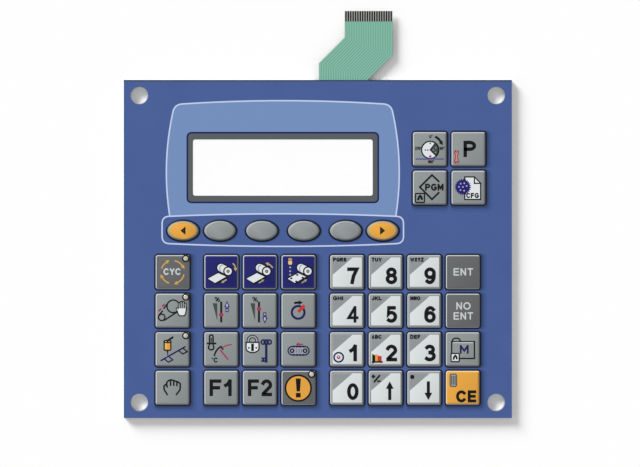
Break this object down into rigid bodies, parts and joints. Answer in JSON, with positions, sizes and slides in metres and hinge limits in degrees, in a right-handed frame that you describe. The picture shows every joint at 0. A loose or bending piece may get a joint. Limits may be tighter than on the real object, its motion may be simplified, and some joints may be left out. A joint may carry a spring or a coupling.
{
  "type": "membrane keypad",
  "caption": "Flat membrane keypad on a support plate, with embossed square and oval keys, a clear display window, corner fixing holes and a jogged flat tail.",
  "frame": {"origin": "centre of the support plate's rear face, halfway between the four fixing holes", "axes": "+Z out of the front that the fingers press, +X to the right seen from the front, +Y towards the edge that the tail leaves"},
  "size_m": [0.163, 0.171, 0.0037],
  "materials": {
    "overlay_film": "satin polyester film, printed blue on its rear face",
    "adhesive": "clear acrylic adhesive sheet",
    "spacer": "milky polyester sheet",
    "circuit_film": "polyester film with green insulating print over silver tracks",
    "carbon_contacts": "printed carbon ink",
    "stiffener": "white polyester strip",
    "support_plate": "mill-finish sheet, cut edges",
    "dome_steel": "stainless spring steel",
    "lamp_chip": "clear resin chip"
  },
  "bodies": {
    "root": {"circuit_film": "circuit_film", "dome_alarm": "dome_steel", "dome_angle": "dome_steel", "dome_arrow_down": "dome_steel", "dome_arrow_up": "dome_steel", "dome_chain": "dome_steel", "dome_clear": "dome_steel", "dome_config": "dome_steel", "dome_cycle": "dome_steel", "dome_digit_0": "dome_steel", "dome_digit_1": "dome_steel", "dome_digit_2": "dome_steel", "dome_digit_3": "dome_steel", "dome_digit_4": "dome_steel", "dome_digit_5": "dome_steel", "dome_digit_6": "dome_steel", "dome_digit_7": "dome_steel", "dome_digit_8": "dome_steel", "dome_digit_9": "dome_steel", "dome_enter": "dome_steel", "dome_f1": "dome_steel", "dome_f2": "dome_steel", "dome_film_back": "dome_steel", "dome_film_feed": "dome_steel", "dome_film_mark": "dome_steel", "dome_glue": "dome_steel", "dome_hand": "dome_steel", "dome_heat": "dome_steel", "dome_jog": "dome_steel", "dome_lock": "dome_steel", "dome_memory": "dome_steel", "dome_no_enter": "dome_steel", "dome_program": "dome_steel", "dome_ramp_down": "dome_steel", "dome_ramp_up": "dome_steel", "dome_rotate": "dome_steel", "dome_scroll_left": "dome_steel", "dome_scroll_right": "dome_steel", "dome_setup": "dome_steel", "dome_soft_1": "dome_steel", "dome_soft_2": "dome_steel", "dome_soft_3": "dome_steel", "dome_soft_4": "dome_steel", "dome_spacer": "spacer", "graphic_overlay": "overlay_film", "lamp_alarm": "lamp_chip", "lamp_cycle": "lamp_chip", "lamp_glue": "lamp_chip", "lamp_jog": "lamp_chip", "overlay_adhesive": "adhesive", "rear_adhesive": "adhesive", "support_plate": "support_plate", "tail_contacts": "carbon_contacts", "tail_stiffener": "stiffener"}
  },
  "joints": []
}
